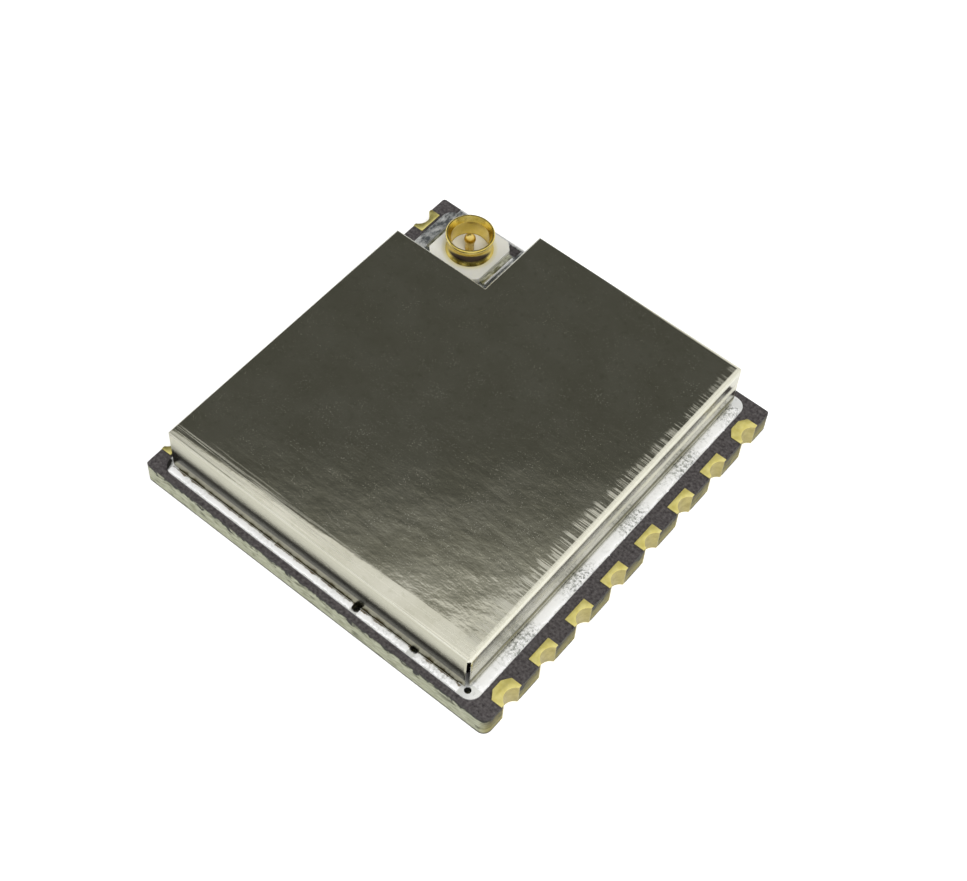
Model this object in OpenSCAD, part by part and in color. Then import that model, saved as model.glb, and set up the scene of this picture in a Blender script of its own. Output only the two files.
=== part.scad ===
// Long-range radio module: a small castellated board with a folded shield can
// over the radio circuit and a miniature coax socket in the can's cut-out corner.
// Origin at the middle of the board's underside, +Z up, pad rows on the left and right.

/* [Board] */
// Width of the board, from pad row to pad row
board_w = 15.8; // [14.5:0.1:20]
// Length of the board, along the pad rows
board_l = 16.7; // [16:0.1:22]
// Thickness of the board
board_t = 1.0; // [0.6:0.1:1.6]
// Radius of the board's corners
board_corner_r = 0.12; // [0.08:0.01:0.4]
// Radius of the board's front right corner
front_corner_r = 0.35; // [0.2:0.05:0.6]
// Diameter of the small plated holes that tie the ground layers together
via_d = 0.26; // [0.2:0.01:0.4]

/* [Edge pads] */
// Number of pads in each row
pad_count = 8; // [4:1:8]
// Distance from one pad to the next
pad_pitch = 2.0; // [1.5:0.05:2.05]
// Length of a pad's land along the board's edge
land_len = 1.08; // [0.95:0.01:1.3]
// Reach of a top land in from the board's edge
land_in = 0.44; // [0.4:0.01:0.5]
// Reach of the right row's first and last top lands at their inner end
end_land_in = 0.65; // [0.55:0.01:0.7]
// Reach of a land on the underside
under_land_in = 1.1; // [0.6:0.05:1.6]
// Radius of the open half hole in a pad
hole_r = 0.45; // [0.35:0.01:0.46]
// Distance of the half hole's centre outside the board's edge
hole_out = 0.2; // [0.1:0.01:0.25]
// Thickness of the plating on the hole's wall
plate_t = 0.05; // [0.03:0.01:0.08]
// Thickness of the copper lands
copper_t = 0.05; // [0.03:0.01:0.1]

/* [Shield can] */
// Distance from the board's left edge to the can
can_gap_left = 0.73; // [0.7:0.01:1.2]
// Distance from the board's right edge to the can
can_gap_right = 1.28; // [1.22:0.02:1.6]
// Distance from the board's front edge to the can
can_gap_front = 0.56; // [0.5:0.02:0.9]
// Distance from the board's back edge to the can
can_gap_back = 0.43; // [0.4:0.01:0.9]
// Height of the can above its ground land
can_h = 2.05; // [1.7:0.05:2.6]
// Thickness of the sheet that the can is folded from
sheet_t = 0.15; // [0.1:0.01:0.16]
// Outer radius of the folds along the can's top
fold_r = 0.2; // [0.18:0.01:0.3]
// Width of the open seam down each corner of the can
seam_w = 0.13; // [0.08:0.01:0.2]
// Height that the can's corners stand clear of the land
corner_lift = 0.1; // [0.05:0.01:0.2]
// Length of that lifted edge, measured from the corner
corner_lift_len = 0.4; // [0.3:0.05:0.8]
// Width of the cut-out for the coax socket
notch_w = 4.3; // [4.2:0.05:4.6]
// Length of the cut-out for the coax socket
notch_l = 3.3; // [3.3:0.05:3.6]

/* [Ground land and solder] */
// Reach of the tinned land outside the can on the left
ground_left = 0.18; // [0.1:0.01:0.2]
// Reach of the tinned land outside the can on the right
ground_right = 0.46; // [0.3:0.01:0.5]
// Reach of the tinned land outside the can at the front
ground_front = 0.31; // [0.2:0.01:0.4]
// Reach of the tinned land outside the can at the back
ground_back = 0.15; // [0.1:0.01:0.3]
// Reach of the tinned land under the can
ground_in = 0.4; // [0.3:0.05:0.8]
// Radius of the land's outer corners
ground_corner_r = 0.45; // [0.2:0.05:0.6]
// Size of a solder joint at the foot of the can
joint_r = 0.14; // [0.08:0.01:0.18]
// Length of one solder joint
joint_len = 0.8; // [0.4:0.05:1.2]
// Distance between the can's solder joints
joint_pitch = 2.6; // [2:0.1:4]

/* [Coax socket] */
// Distance from the board's left edge to the socket's axis
socket_from_left = 2.55; // [2.4:0.05:2.8]
// Distance from the board's back edge to the socket's axis
socket_from_back = 1.53; // [1.5:0.01:1.7]
// Width of the moulded base
socket_w = 2.5; // [2.4:0.05:2.6]
// Height of the moulded base above the board
socket_base_h = 0.35; // [0.3:0.05:0.5]
// Size of the bevel on the base's corners
socket_bevel = 0.3; // [0.1:0.05:0.5]
// Diameter of the ring's rim, which a plug snaps over
rim_d = 1.92; // [1.85:0.01:2]
// Diameter of the ring's hollowed waist, between its rim and its foot
waist_d = 1.66; // [1.64:0.01:1.75]
// Bore of the ring
ring_bore = 1.5; // [1.3:0.01:1.52]
// Height of the socket's top above the board
socket_h = 1.25; // [1.15:0.05:1.4]
// Diameter of the centre contact
contact_d = 0.36; // [0.25:0.01:0.4]
// Diameter of the centre contact's ball tip
contact_tip_d = 0.46; // [0.42:0.01:0.55]
// Thickness of the socket's feet
foot_t = 0.1; // [0.08:0.01:0.15]
// Reach of a ground foot beyond the base
foot_out = 0.2; // [0.15:0.01:0.25]
// Width of a ground foot
foot_w = 1.8; // [1.4:0.05:1.85]
// Width of the signal foot
signal_foot_w = 0.5; // [0.3:0.05:0.7]

/* [Parts under the can] */
// Side of the square radio chip
chip_w = 6.0; // [5:0.1:6.4]
// Thickness of the radio chip
chip_h = 0.85; // [0.7:0.05:1]
// Leads on each side of the radio chip
chip_leads = 7; // [5:1:8]
// Distance between the radio chip's leads
chip_lead_pitch = 0.65; // [0.5:0.05:0.65]
// Distance between the radio chip's leads and the metal pad under it
chip_pad_gap = 0.45; // [0.3:0.05:0.8]
// Length of the crystal
crystal_l = 3.2; // [2.5:0.1:3.4]
// Width of the crystal
crystal_w = 2.5; // [2:0.1:2.6]
// Height of the crystal's ceramic case
crystal_case_h = 0.5; // [0.4:0.05:0.7]
// Height of the crystal's metal lid
crystal_lid_h = 0.25; // [0.15:0.05:0.3]
// Length of the antenna switch's body
switch_l = 2.0; // [1.8:0.05:2.2]
// Width of the antenna switch's body
switch_w = 1.25; // [1.1:0.05:1.35]
// Height of the antenna switch's body
switch_h = 0.9; // [0.7:0.05:1.1]
// Length of a chip capacitor, inductor or resistor
passive_l = 1.0; // [0.8:0.05:1.1]
// Width of a chip capacitor, inductor or resistor
passive_w = 0.5; // [0.4:0.05:0.55]
// Height of a chip capacitor
capacitor_h = 0.5; // [0.3:0.05:0.6]
// Height of a chip inductor
inductor_h = 0.55; // [0.3:0.05:0.6]
// Height of a chip resistor
resistor_h = 0.35; // [0.25:0.05:0.4]
// Length of one metal end of a chip capacitor, inductor or resistor
end_l = 0.24; // [0.15:0.01:0.3]

/* [Hidden] */
$fn = 48;
eps = 0.01;
through = 1;                       // overshoot of a cut past a free face

// Edges of the board
x_left = -board_w / 2;
x_right = board_w / 2;
y_front = -board_l / 2;
y_back = board_l / 2;

// Outer faces of the can
can_x0 = x_left + can_gap_left;
can_x1 = x_right - can_gap_right;
can_y0 = y_front + can_gap_front;
can_y1 = y_back - can_gap_back;
can_z0 = board_t + copper_t;
can_z1 = can_z0 + can_h;
notch_x = can_x0 + notch_w;
notch_y = can_y1 - notch_l;
seam_top = can_z1 - fold_r - 0.02; // the seams end just under the fold
seam_reach = 1;                    // reach of a seam's cut on both sides of its corner

// Edge pads
drill_r = hole_r + plate_t;
first_pad_y = -(pad_count - 1) * pad_pitch / 2;
end_land_len = 0.44;               // length of an end land's inner end

// Ground holes beside the can, from its front right corner
via_offsets = [[0.02, 0], [-2.33, 0.03], [-4.88, -0.06]];

// Ground land at the socket
socket_land_in = 0.17;             // start of its back strip, in from the can's left side
socket_land_edge = 0.02;           // gap between that strip and the board's back edge
clear_margin = 0.3;                // of the clear ground under the socket
land_gap_l = 0.4;                  // gaps in front of and behind the right foot
land_gap_from_foot = 0.1;
land_gap_past = 0.05;              // reach of these gaps past the foot's end

// Socket
socket_x = x_left + socket_from_left;
socket_y = y_back - socket_from_back;
socket_z0 = board_t + copper_t;
socket_floor_z = board_t + socket_base_h;
socket_top_z = board_t + socket_h;
rim_h = 0.15;
rim_lip = 0.03;                    // bevel round the top of the rim
waist_sink = 0.02;                 // the waist's curve ends this far below the base's top
mouth_edge = 0.08;                 // from the rim's outside to the start of the mouth
mouth_h = 0.22;                    // depth of the ring's flared mouth
foot_under = 0.3;                  // how far a foot reaches in under the base
ring_seat_h = 0.12;                // depth that the ring is moulded into the base
arm_w = 0.5;                       // arm that joins the ring to a ground foot
arm_lap = 0.15;                    // overlap of the arm and the foot
seat_wall = 0.05;                  // wall of the ring where it is moulded into the base
seat_lap = 0.04;                   // overlap of the arm and that wall
arm_down = 0.04;                   // depth of the arm under the base's top
contact_down = 0.12;               // top of the contact's tip, below the rim
signal_land_past = 0.05;           // reach of the signal land beside its foot

// Parts under the can, placed from the can's middle and from the socket
lead_w = 0.3;
lead_l = 0.5;
lead_t = 0.2;
chip_right = 1.85;                 // radio chip, to the right of the can's middle
chip_in = 4.5;                     // radio chip's middle, in from the can's front wall
chip_x = (can_x0 + can_x1) / 2 + chip_right;
chip_y = can_y0 + sheet_t + chip_in;
chip_pad_w = chip_w - 2 * (lead_l + chip_pad_gap);
chip_z = board_t + copper_t;
crystal_left = 2.5;                // crystal, to the left of the radio chip's side
crystal_front = 2.4;               // crystal, in front of the radio chip's middle
crystal_x = chip_x - chip_w / 2 - crystal_left;
crystal_y = chip_y - crystal_front;
crystal_rim = 0.2;
switch_right = 0.1;                // antenna switch, to the right of the socket's axis
switch_front = 1.8;                // antenna switch, in front of the cut-out
switch_x = socket_x + switch_right;
switch_y = notch_y - switch_front;
switch_stand = 0.05;               // gap under the antenna switch's body
switch_bend = 0.08;                // from the body's side to the bend of a lead
switch_lead_out = 0.4;
switch_lead_w = 0.22;
switch_lead_t = 0.12;
switch_lead_pitch = 0.65;

// Lands of the parts under the can
land_past_end = 0.04;              // past a chip part's metal end
land_past_side = 0.03;             // beside a chip part
lead_land_out = 0.15;              // past the radio chip's side
crystal_land = [1.1, 0.9];
crystal_land_in = [0.5, 0.45];     // middle of a land, in from the crystal's sides
switch_land_l = 0.4;
switch_land_in = 0.15;             // middle of a land, in from the lead's end
switch_land_past = 0.05;           // beside a lead

// Place and turn of each chip part, from the radio chip's middle
capacitor_spots = [
    [-2.2, 4.2, 90], [-0.7, 4.2, 90], [0.8, 4.2, 90], [2.3, 4.2, 90],
    [-2.2, -3.8, 0], [-0.4, -3.8, 0], [1.4, -3.8, 0],
    [-4.4, 0.2, 90], [-0.6, 6.0, 0], [1.2, 6.0, 0]
];
inductor_spots = [[2.6, 6.0, 0], [2.6, 7.2, 0], [1.2, 7.2, 0]];
resistor_spots = [[-0.6, 7.2, 0], [-5.9, 0.2, 90]];
// Place and turn of the matching parts, from the antenna switch's middle
match_capacitor_spots = [[-0.9, -1.9, 0], [0.8, -1.9, 0]];
match_inductor_spots = [[1.6, 0.2, 90]];

right_pads = [for (i = [1:pad_count]) str("right_pad_", i)];
left_pads = [for (i = [1:pad_count]) str("left_pad_", i)];

// Box from one corner to the other
module block(from, to) {
    translate(from) cube(to - from);
}

// Flat slab whose upright edges are rounded
module rounded_slab(x0, x1, y0, y1, z0, z1, r) {
    block([x0 + r, y0, z0], [x1 - r, y1, z1]);
    block([x0, y0 + r, z0], [x1, y1 - r, z1]);
    for (x = [x0 + r, x1 - r], y = [y0 + r, y1 - r])
        translate([x, y, z0]) cylinder(r = r, h = z1 - z0);
}

// Upright outline of a folded lid: square at the foot, rounded along the top
module lid_outline(w, h, r) {
    square([w, h - r]);
    translate([r, 0]) square([w - 2 * r, h]);
    for (x = [r, w - r]) translate([x, h - r]) circle(r = r);
}

// Lid with rounded top edges and corners
module lid_form(x0, x1, y0, y1, z0, z1, r) {
    intersection() {
        translate([x0, y1, z0]) rotate([90, 0, 0]) linear_extrude(y1 - y0)
            lid_outline(x1 - x0, z1 - z0, r);
        translate([x0, y0, z0]) rotate([90, 0, 90]) linear_extrude(x1 - x0)
            lid_outline(y1 - y0, z1 - z0, r);
        rounded_slab(x0, x1, y0, y1, z0, z1, r);
    }
}

// Solid form of the can, or of the space in it, with the cut-out left away
module can_form(wall, z0) {
    r = fold_r - wall;
    lid_form(can_x0 + wall, can_x1 - wall, can_y0 + wall, notch_y - wall, z0, can_z1 - wall, r);
    lid_form(notch_x + wall, can_x1 - wall, can_y0 + wall, can_y1 - wall, z0, can_z1 - wall, r);
}

// Corners of the can, each with the direction that it points in
function can_corners() = [
    [can_x0, can_y0, 225], [can_x1, can_y0, 315], [can_x1, can_y1, 45],
    [notch_x, can_y1, 135], [can_x0, notch_y, 135]
];

// Places of the board's ground holes that show beside the can
function via_spots() = [for (v = via_offsets) [can_x1 + v[0], can_y0 + v[1]]];

// Place along the board of the pads of number i
function pad_y(i) = first_pad_y + (i - 1) * pad_pitch;

// Lands that chip parts stand on
module part_lands(spots, length) {
    for (s = spots) translate([s[0], s[1], board_t]) rotate(s[2])
        for (k = [-1, 1]) translate([k * (length - end_l) / 2, 0, 0])
            translate([-end_l / 2 - land_past_end, -passive_w / 2 - land_past_side, 0])
                cube([end_l + 2 * land_past_end, passive_w + 2 * land_past_side, copper_t]);
}

// Bodies of chip parts, between their metal ends
module part_bodies(spots, h) {
    for (s = spots) translate([s[0], s[1], board_t + copper_t]) rotate(s[2])
        translate([-passive_l / 2 + end_l, -passive_w / 2, 0])
            cube([passive_l - 2 * end_l, passive_w, h]);
}

// Metal ends of chip parts
module part_ends(spots, h) {
    for (s = spots) translate([s[0], s[1], board_t + copper_t]) rotate(s[2])
        for (k = [-1, 1]) translate([k * (passive_l - end_l) / 2, 0, h / 2])
            cube([end_l, passive_w, h], center = true);
}

function moved(spots, x, y) = [for (s = spots) [s[0] + x, s[1] + y, s[2]]];
function capacitor_places() = concat(
    moved(capacitor_spots, chip_x, chip_y), moved(match_capacitor_spots, switch_x, switch_y));
function inductor_places() = concat(
    moved(inductor_spots, chip_x, chip_y), moved(match_inductor_spots, switch_x, switch_y));
function resistor_places() = moved(resistor_spots, chip_x, chip_y);

// Turn of each lead of the radio chip, with its place along that side
function chip_lead_places() = [
    for (turn = [0, 90, 180, 270], i = [0:chip_leads - 1])
        [turn, (i - (chip_leads - 1) / 2) * chip_lead_pitch]
];

module board_outline() {
    r = front_corner_r;
    difference() {
        rounded_slab(x_left, x_right, y_front, y_back, 0, board_t, board_corner_r);
        difference() {
            block([x_right - r, y_front - through, -through],
                  [x_right + through, y_front + r, board_t + through]);
            translate([x_right - r, y_front + r, -2 * through])
                cylinder(r = r, h = board_t + 4 * through);
        }
    }
}

module circuit_board() {
    color([0.16, 0.15, 0.16]) difference() {
        board_outline();
        for (side = [-1, 1], i = [1:pad_count]) translate([0, pad_y(i), 0]) {
            translate([side * (board_w / 2 + hole_out), 0, -through])
                cylinder(r = drill_r, h = board_t + 2 * through);
            under_land(side);
        }
        for (p = via_spots()) translate([p[0], p[1], -through])
            cylinder(d = via_d, h = board_t + 2 * through);
    }
}

// Land on the underside, let into the board; side -1 is the left row
module under_land(side) {
    x = side * board_w / 2;
    block([min(x, x - side * under_land_in), -land_len / 2, 0],
          [max(x, x - side * under_land_in), land_len / 2, copper_t]);
}

// One plated edge pad: top land, half hole wall and underside land in one piece
module edge_pad(side, i) {
    edge = side * board_w / 2;
    is_deep = side > 0 && (i == 1 || i == pad_count);
    color([0.86, 0.79, 0.45]) translate([0, pad_y(i), 0]) difference() {
        union() {
            under_land(side);
            block([min(edge, edge - side * land_in), -land_len / 2, board_t],
                  [max(edge, edge - side * land_in), land_len / 2, board_t + copper_t]);
            if (is_deep)
                translate([edge, 0, board_t]) linear_extrude(copper_t) polygon([
                    [-land_in, -land_len / 2], [-end_land_in, -end_land_len / 2],
                    [-end_land_in, end_land_len / 2], [-land_in, land_len / 2]
                ]);
            intersection() {
                translate([edge + side * hole_out, 0, 0]) cylinder(r = drill_r, h = board_t + copper_t);
                block([min(edge, edge - side * drill_r), -drill_r, 0],
                      [max(edge, edge - side * drill_r), drill_r, board_t + copper_t]);
            }
        }
        translate([edge + side * hole_out, 0, -through])
            cylinder(r = hole_r, h = board_t + 2 * through);
    }
}

// Tinned copper frame that the can stands on, with the socket's ground lands
module ground_land() {
    x0 = can_x0 - ground_left;
    x1 = can_x1 + ground_right;
    y0 = can_y0 - ground_front;
    y1 = can_y1 + ground_back;
    clear_x = socket_w / 2 - foot_under;
    color([0.86, 0.87, 0.88]) difference() {
        union() {
            rounded_slab(x0, x1, y0, y1, board_t, board_t + copper_t, ground_corner_r);
            // strip along the board's back edge, behind the socket
            block([can_x0 + socket_land_in, socket_y, board_t],
                  [notch_x, y_back - socket_land_edge, board_t + copper_t]);
        }
        block([can_x0 + ground_in, can_y0 + ground_in, board_t - through],
              [can_x1 - ground_in, notch_y - ground_in, board_t + through]);
        block([notch_x + ground_in, notch_y - ground_in - eps, board_t - through],
              [can_x1 - ground_in, can_y1 - ground_in, board_t + through]);
        // clear ground under the socket, between its feet
        block([socket_x - clear_x, notch_y + clear_margin, board_t - through],
              [socket_x + clear_x, socket_y + socket_w / 2 - clear_margin, board_t + through]);
        // gaps in the land in front of and behind the right foot
        for (k = [-1, 1])
            translate([socket_x, socket_y + k * (foot_w / 2 + land_gap_from_foot + land_gap_l / 2), 0])
                block([clear_x - eps, -land_gap_l / 2, board_t - through],
                      [socket_w / 2 + foot_out + land_gap_past, land_gap_l / 2, board_t + through]);
        for (p = via_spots()) translate([p[0], p[1], board_t - through])
            cylinder(d = via_d, h = 2 * through);
    }
}

// Land that the socket's signal foot is soldered to
module signal_land() {
    w = signal_foot_w + 2 * signal_land_past;
    y1 = socket_y - socket_w / 2 + foot_under;
    color([0.86, 0.87, 0.88])
        block([socket_x - w / 2, y1 - foot_under - foot_out, board_t],
              [socket_x + w / 2, y1, board_t + copper_t]);
}

// Tinned lands of the parts under the can
module component_lands() {
    color([0.86, 0.87, 0.88]) {
        part_lands(capacitor_places(), passive_l);
        part_lands(inductor_places(), passive_l);
        part_lands(resistor_places(), passive_l);
        for (p = chip_lead_places()) translate([chip_x, chip_y, board_t]) rotate(p[0])
            translate([chip_w / 2 - lead_l, p[1] - lead_w / 2, 0])
                cube([lead_l + lead_land_out, lead_w, copper_t]);
        block([chip_x - chip_pad_w / 2, chip_y - chip_pad_w / 2, board_t],
              [chip_x + chip_pad_w / 2, chip_y + chip_pad_w / 2, board_t + copper_t]);
        for (kx = [-1, 1], ky = [-1, 1])
            translate([crystal_x + kx * (crystal_l / 2 - crystal_land_in[0]),
                       crystal_y + ky * (crystal_w / 2 - crystal_land_in[1]), board_t + copper_t / 2])
                cube([crystal_land[0], crystal_land[1], copper_t], center = true);
        for (k = [-1, 1], i = [-1, 0, 1])
            translate([switch_x + i * switch_lead_pitch,
                       switch_y + k * (switch_w / 2 + switch_lead_out - switch_land_in),
                       board_t + copper_t / 2])
                cube([switch_lead_w + 2 * switch_land_past, switch_land_l, copper_t], center = true);
    }
}

// Slot of a seam down the corner at (x, y), cut along the direction turn
module seam_cut(x, y, turn) {
    translate([x, y, 0]) rotate(turn)
        block([-seam_reach, -seam_w / 2, can_z0 - through], [seam_reach, seam_w / 2, seam_top]);
}

// Can folded from one sheet, open below, with a seam down each corner
module shield_can() {
    color([0.62, 0.61, 0.56]) difference() {
        can_form(0, can_z0);
        can_form(sheet_t, can_z0 - through);
        for (c = can_corners()) {
            seam_cut(c[0], c[1], c[2]);
            translate([c[0], c[1], can_z0])
                cube([2 * corner_lift_len, 2 * corner_lift_len, 2 * corner_lift], center = true);
        }
        seam_cut(notch_x, notch_y, 135);
    }
}

// Quarter round bead of solder along X, in front of a wall whose foot is at the origin
module solder_bead(r, length) {
    intersection() {
        union() {
            translate([-length / 2 + r, 0, 0]) rotate([0, 90, 0]) cylinder(r = r, h = length - 2 * r);
            for (k = [-1, 1]) translate([k * (length / 2 - r), 0, 0]) sphere(r = r);
        }
        block([-length, -2 * r, 0], [length, 0, 2 * r]);
    }
}

// Row of solder joints along a wall that runs from one point to another
module joint_row(from, to, turn) {
    run = norm(to - from);
    n = max(1, floor((run - 2 * corner_lift_len - joint_len) / joint_pitch) + 1);
    for (i = [0:n - 1]) {
        f = (run / 2 + (i - (n - 1) / 2) * joint_pitch) / run;
        p = from + (to - from) * f;
        translate([p[0], p[1], board_t + copper_t]) rotate(turn) solder_bead(joint_r, joint_len);
    }
}

// Solder joints between the can's walls and the ground land
module shield_solder() {
    color([0.84, 0.85, 0.86]) {
        joint_row([can_x0, can_y0], [can_x1, can_y0], 0);
        joint_row([can_x1, can_y0], [can_x1, can_y1], 90);
        joint_row([notch_x, can_y1], [can_x1, can_y1], 180);
        joint_row([can_x0, can_y0], [can_x0, notch_y], 270);
        joint_row([can_x0, notch_y], [notch_x, notch_y], 180);
    }
}

// Square base with bevelled corners
module base_form() {
    s = socket_w / 2;
    b = socket_bevel;
    translate([socket_x, socket_y, socket_z0]) linear_extrude(socket_floor_z - socket_z0)
        polygon([[s - b, -s], [s, -s + b], [s, s - b], [s - b, s],
                 [b - s, s], [-s, s - b], [-s, b - s], [b - s, -s]]);
}

// Moulded base, with the seats of the ring, the contact and their feet
module socket_base() {
    color([0.9, 0.9, 0.86]) difference() {
        base_form();
        ring_form();
        contact_form();
    }
}

// Turned profile of the ring: seat, hollowed waist, rim and flared mouth
module ring_turned() {
    rb = ring_bore / 2;
    rr = rim_d / 2;
    z0 = socket_floor_z - ring_seat_h;
    z1 = socket_floor_z;
    z2 = socket_top_z - rim_h;
    z3 = socket_top_z;
    depth = (rim_d - waist_d) / 2;
    half = (z2 - z1 + waist_sink) / 2;
    curve_r = (half * half + depth * depth) / (2 * depth);
    rotate_extrude() difference() {
        polygon([
            [rb, z0], [rb + seat_wall, z0], [rb + seat_wall, z1], [rr, z1],
            [rr, z3 - rim_lip], [rr - rim_lip, z3], [rr - mouth_edge, z3], [rb, z3 - mouth_h]
        ]);
        translate([rr - depth + curve_r, z2 - half]) circle(r = curve_r);
    }
}

// The ring and its two ground feet, with the arms that join them in the base
module ring_form() {
    translate([socket_x, socket_y, 0]) {
        ring_turned();
        for (side = [-1, 1]) on_side(side) {
            // arm from the ring down to the foot
            block([ring_bore / 2 + seat_wall - seat_lap, -arm_w / 2, socket_z0 + foot_t / 2],
                  [socket_w / 2 - foot_under, arm_w / 2, socket_floor_z - arm_down]);
            block([socket_w / 2 - foot_under - arm_lap, -foot_w / 2, socket_z0],
                  [socket_w / 2 + foot_out, foot_w / 2, socket_z0 + foot_t]);
        }
    }
}

// Mirrors its children to the left for side -1
module on_side(side) {
    mirror([side < 0 ? 1 : 0, 0, 0]) children();
}

module socket_ring() {
    color([0.83, 0.68, 0.25]) ring_form();
}

// Centre contact with its ball tip, and the signal foot it ends in
module contact_form() {
    tip_r = contact_tip_d / 2;
    stem_r = contact_d / 2;
    tip_z = socket_top_z - contact_down - tip_r;
    reach = socket_w / 2 + foot_out;
    translate([socket_x, socket_y, 0]) {
        translate([0, 0, socket_z0]) cylinder(r = stem_r, h = tip_z - socket_z0);
        translate([0, 0, tip_z]) sphere(r = tip_r);
        block([-signal_foot_w / 2, -reach, socket_z0], [signal_foot_w / 2, 0, socket_z0 + foot_t]);
    }
}

module socket_contact() {
    color([0.85, 0.7, 0.28]) contact_form();
}

// Solder on the socket's three feet
module socket_solder() {
    r = foot_t;
    color([0.7, 0.71, 0.72]) translate([socket_x, socket_y, board_t + copper_t]) {
        for (turn = [90, 270]) rotate(turn) translate([0, -socket_w / 2 - foot_out, 0])
            solder_bead(r, foot_w);
        translate([0, -socket_w / 2 - foot_out, 0]) solder_bead(r, signal_foot_w);
    }
}

// All leads of the radio chip
module chip_lead_forms(z0, h) {
    for (p = chip_lead_places()) translate([chip_x, chip_y, z0]) rotate(p[0])
        translate([chip_w / 2 - lead_l, p[1] - lead_w / 2, 0]) cube([lead_l, lead_w, h]);
}

module chip_pad_form() {
    block([chip_x - chip_pad_w / 2, chip_y - chip_pad_w / 2, chip_z],
          [chip_x + chip_pad_w / 2, chip_y + chip_pad_w / 2, chip_z + lead_t]);
}

module radio_chip() {
    color([0.13, 0.13, 0.14]) difference() {
        block([chip_x - chip_w / 2, chip_y - chip_w / 2, chip_z],
              [chip_x + chip_w / 2, chip_y + chip_w / 2, chip_z + chip_h]);
        chip_lead_forms(chip_z, lead_t);
        chip_pad_form();
    }
}

module radio_chip_leads() {
    color([0.75, 0.75, 0.76]) chip_lead_forms(chip_z, lead_t);
}

module radio_chip_pad() {
    color([0.75, 0.75, 0.76]) chip_pad_form();
}

module crystal_case() {
    color([0.78, 0.75, 0.66])
        block([crystal_x - crystal_l / 2, crystal_y - crystal_w / 2, chip_z],
              [crystal_x + crystal_l / 2, crystal_y + crystal_w / 2, chip_z + crystal_case_h]);
}

module crystal_lid() {
    z = chip_z + crystal_case_h;
    r = crystal_rim;
    color([0.8, 0.8, 0.8])
        rounded_slab(crystal_x - crystal_l / 2 + r, crystal_x + crystal_l / 2 - r,
                     crystal_y - crystal_w / 2 + r, crystal_y + crystal_w / 2 - r,
                     z, z + crystal_lid_h, r);
}

// Body of the antenna switch, standing clear of the board on its leads
module antenna_switch() {
    color([0.13, 0.13, 0.14])
        block([switch_x - switch_l / 2, switch_y - switch_w / 2, chip_z + switch_stand],
              [switch_x + switch_l / 2, switch_y + switch_w / 2, chip_z + switch_stand + switch_h]);
}

// Bent leads of the antenna switch, three on each side
module antenna_switch_leads() {
    t = switch_lead_t;
    out = switch_lead_out;
    mid = chip_z + switch_stand + switch_h / 2;
    bend = switch_bend;
    color([0.75, 0.75, 0.76]) for (turn = [0, 180], i = [-1, 0, 1])
        translate([switch_x, switch_y, 0]) rotate(turn)
            translate([i * switch_lead_pitch + switch_lead_w / 2, switch_w / 2, 0])
                rotate([90, 0, -90]) linear_extrude(switch_lead_w)
                    polygon([[0, mid - t / 2], [0, mid + t / 2], [-bend - t, mid + t / 2],
                             [-bend - t, chip_z + t], [-out, chip_z + t], [-out, chip_z],
                             [-bend, chip_z], [-bend, mid - t / 2]]);
}

module capacitor_bodies() {
    color([0.62, 0.5, 0.36]) part_bodies(capacitor_places(), capacitor_h);
}

module capacitor_ends() {
    color([0.78, 0.78, 0.78]) part_ends(capacitor_places(), capacitor_h);
}

module inductor_bodies() {
    color([0.85, 0.85, 0.82]) part_bodies(inductor_places(), inductor_h);
}

module inductor_ends() {
    color([0.78, 0.78, 0.78]) part_ends(inductor_places(), inductor_h);
}

module resistor_bodies() {
    color([0.12, 0.12, 0.13]) part_bodies(resistor_places(), resistor_h);
}

module resistor_ends() {
    color([0.78, 0.78, 0.78]) part_ends(resistor_places(), resistor_h);
}

circuit_board();
for (i = [1:pad_count]) {
    edge_pad(-1, i);
    edge_pad(1, i);
}
ground_land();
signal_land();
component_lands();
shield_can();
shield_solder();
socket_base();
socket_ring();
socket_contact();
socket_solder();
radio_chip();
radio_chip_leads();
radio_chip_pad();
crystal_case();
crystal_lid();
antenna_switch();
antenna_switch_leads();
capacitor_bodies();
capacitor_ends();
inductor_bodies();
inductor_ends();
resistor_bodies();
resistor_ends();
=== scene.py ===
"""Shielded radio module: castellated board, folded shield can and coax socket on a white table."""
import math

import bmesh
import bpy
from mathutils import Matrix, Vector


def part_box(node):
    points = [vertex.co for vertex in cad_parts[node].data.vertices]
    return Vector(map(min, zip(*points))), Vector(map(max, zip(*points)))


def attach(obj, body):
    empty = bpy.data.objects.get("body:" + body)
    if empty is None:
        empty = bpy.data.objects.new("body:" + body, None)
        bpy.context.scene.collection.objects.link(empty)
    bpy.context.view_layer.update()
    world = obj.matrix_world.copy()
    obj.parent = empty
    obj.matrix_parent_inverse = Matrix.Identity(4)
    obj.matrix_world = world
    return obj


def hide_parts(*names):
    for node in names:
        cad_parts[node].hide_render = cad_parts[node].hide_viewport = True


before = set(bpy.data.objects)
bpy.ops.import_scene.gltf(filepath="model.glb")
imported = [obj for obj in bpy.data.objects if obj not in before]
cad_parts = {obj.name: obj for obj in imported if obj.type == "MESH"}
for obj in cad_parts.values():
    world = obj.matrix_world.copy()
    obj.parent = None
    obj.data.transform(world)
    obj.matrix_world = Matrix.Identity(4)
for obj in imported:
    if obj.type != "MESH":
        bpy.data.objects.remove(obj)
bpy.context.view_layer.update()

MM = 0.001


def box_mm(node):
    return [[v / MM for v in corner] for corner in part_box(node)]


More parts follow.
